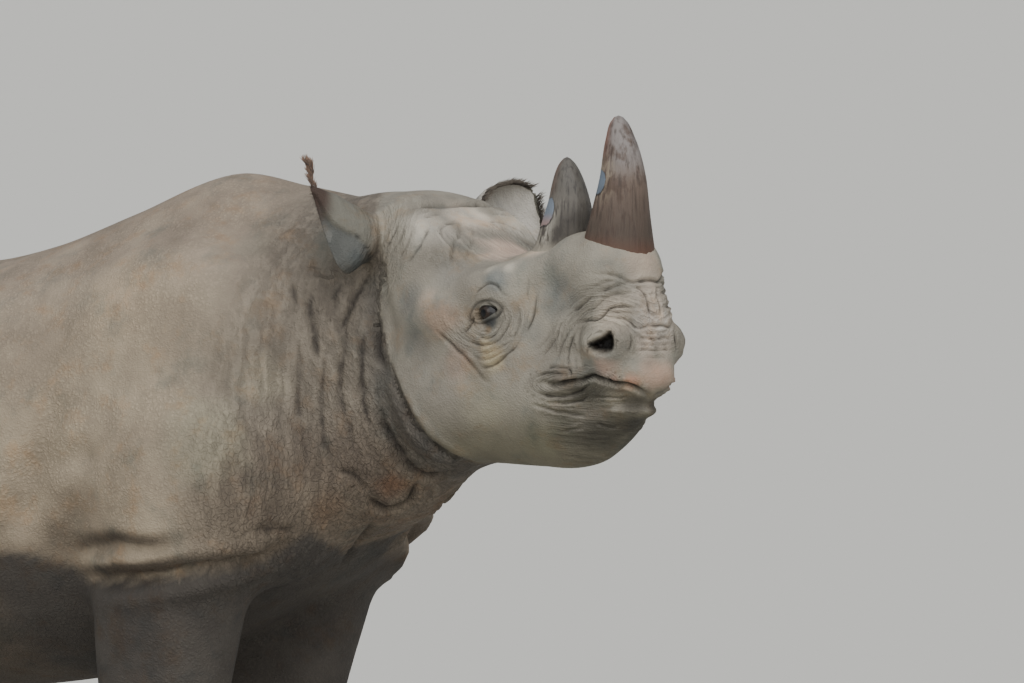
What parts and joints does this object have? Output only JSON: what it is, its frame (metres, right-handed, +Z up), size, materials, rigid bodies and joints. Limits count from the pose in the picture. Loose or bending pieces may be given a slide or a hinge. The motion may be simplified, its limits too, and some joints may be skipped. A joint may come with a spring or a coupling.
{
  "type": "black rhinoceros",
  "caption": "Life-size black rhinoceros, a still museum model standing on its feet with its head raised and turned a little to its right.",
  "frame": {"origin": "on the ground, under the middle of the whole animal's box", "axes": "+X towards the snout, +Y to the animal's left, +Z up"},
  "size_m": [2.8806, 0.9274, 1.609],
  "materials": {
    "hide": "rough, creased, dusty",
    "horn": "rubbed keratin, streaked",
    "eye": "wet, glossy",
    "nail": "worn keratin"
  },
  "bodies": {
    "root": {"torso": "hide", "neck": "hide", "head": "hide", "ear_right": "hide", "ear_left": "hide", "foreleg_right": "hide", "foreleg_left": "hide", "hindleg_right": "hide", "hindleg_left": "hide", "tail": "hide", "eye_right": "eye", "eye_left": "eye", "horn_front": "horn", "horn_rear": "horn", "forenail_right_outer": "nail", "forenail_right_middle": "nail", "forenail_right_inner": "nail", "forenail_left_outer": "nail", "forenail_left_middle": "nail", "forenail_left_inner": "nail", "hindnail_right_outer": "nail", "hindnail_right_middle": "nail", "hindnail_right_inner": "nail", "hindnail_left_outer": "nail", "hindnail_left_middle": "nail", "hindnail_left_inner": "nail"}
  },
  "joints": []
}
